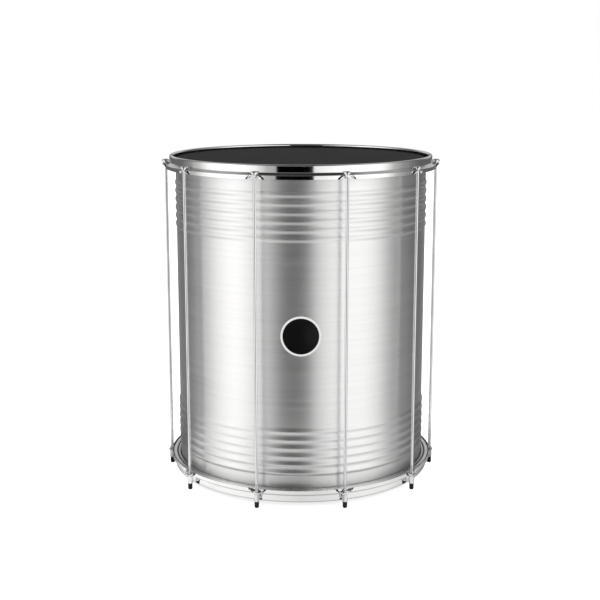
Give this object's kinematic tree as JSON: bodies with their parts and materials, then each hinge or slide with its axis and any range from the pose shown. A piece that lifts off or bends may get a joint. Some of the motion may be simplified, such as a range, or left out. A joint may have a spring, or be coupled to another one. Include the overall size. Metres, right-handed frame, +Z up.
{
  "type": "surdo bass drum",
  "caption": "Tall cylindrical bass drum with a beaded aluminium shell, a dark skin at each end and long outer tension rods between chromed hoops.",
  "frame": {"origin": "on the floor, in the middle of the ring of rubber caps that the drum stands on", "axes": "+Z up along the drum's axis, -Y towards the front with the badge, +X to the drum's right as seen from the front"},
  "size_m": [0.566, 0.5462, 0.6598],
  "materials": {
    "shell": "spun, fine lines round",
    "skin": "matte",
    "flesh_hoop": "satin",
    "hoop": "polished",
    "badge": "gloss",
    "rod": "polished",
    "washer": "polished",
    "nut": "polished",
    "rubber": "matte"
  },
  "bodies": {
    "drum": {"shell": "shell", "top_head": "skin", "bottom_head": "skin", "top_flesh_hoop": "flesh_hoop", "bottom_flesh_hoop": "flesh_hoop", "top_hoop": "hoop", "bottom_hoop": "hoop", "badge": "badge", "tension_rod_01": "rod", "rod_washer_01": "washer", "rubber_cap_01": "rubber", "tension_rod_02": "rod", "rod_washer_02": "washer", "rubber_cap_02": "rubber", "tension_rod_03": "rod", "rod_washer_03": "washer", "rubber_cap_03": "rubber", "tension_rod_04": "rod", "rod_washer_04": "washer", "rubber_cap_04": "rubber", "tension_rod_05": "rod", "rod_washer_05": "washer", "rubber_cap_05": "rubber", "tension_rod_06": "rod", "rod_washer_06": "washer", "rubber_cap_06": "rubber", "tension_rod_07": "rod", "rod_washer_07": "washer", "rubber_cap_07": "rubber", "tension_rod_08": "rod", "rod_washer_08": "washer", "rubber_cap_08": "rubber", "tension_rod_09": "rod", "rod_washer_09": "washer", "rubber_cap_09": "rubber", "tension_rod_10": "rod", "rod_washer_10": "washer", "rubber_cap_10": "rubber"},
    "nut_01": {"tension_nut_01": "nut"},
    "nut_02": {"tension_nut_02": "nut"},
    "nut_03": {"tension_nut_03": "nut"},
    "nut_04": {"tension_nut_04": "nut"},
    "nut_05": {"tension_nut_05": "nut"},
    "nut_06": {"tension_nut_06": "nut"},
    "nut_07": {"tension_nut_07": "nut"},
    "nut_08": {"tension_nut_08": "nut"},
    "nut_09": {"tension_nut_09": "nut"},
    "nut_10": {"tension_nut_10": "nut"}
  },
  "joints": [
    {"name": "nut_turn_01", "type": "hinge", "parent": "drum", "child": "nut_01", "pos_m": [0.08498, -0.26154, 0.0201], "axis": [0, 0, 1], "continuous": true},
    {"name": "nut_turn_02", "type": "hinge", "parent": "drum", "child": "nut_02", "pos_m": [0.22248, -0.16164, 0.0201], "axis": [0, 0, 1], "continuous": true},
    {"name": "nut_turn_03", "type": "hinge", "parent": "drum", "child": "nut_03", "pos_m": [0.275, 0, 0.0201], "axis": [0, 0, 1], "continuous": true},
    {"name": "nut_turn_04", "type": "hinge", "parent": "drum", "child": "nut_04", "pos_m": [0.22248, 0.16164, 0.0201], "axis": [0, 0, 1], "continuous": true},
    {"name": "nut_turn_05", "type": "hinge", "parent": "drum", "child": "nut_05", "pos_m": [0.08498, 0.26154, 0.0201], "axis": [0, 0, 1], "continuous": true},
    {"name": "nut_turn_06", "type": "hinge", "parent": "drum", "child": "nut_06", "pos_m": [-0.08498, 0.26154, 0.0201], "axis": [0, 0, 1], "continuous": true},
    {"name": "nut_turn_07", "type": "hinge", "parent": "drum", "child": "nut_07", "pos_m": [-0.22248, 0.16164, 0.0201], "axis": [0, 0, 1], "continuous": true},
    {"name": "nut_turn_08", "type": "hinge", "parent": "drum", "child": "nut_08", "pos_m": [-0.275, 0, 0.0201], "axis": [0, 0, 1], "continuous": true},
    {"name": "nut_turn_09", "type": "hinge", "parent": "drum", "child": "nut_09", "pos_m": [-0.22248, -0.16164, 0.0201], "axis": [0, 0, 1], "continuous": true},
    {"name": "nut_turn_10", "type": "hinge", "parent": "drum", "child": "nut_10", "pos_m": [-0.08498, -0.26154, 0.0201], "axis": [0, 0, 1], "continuous": true}
  ]
}
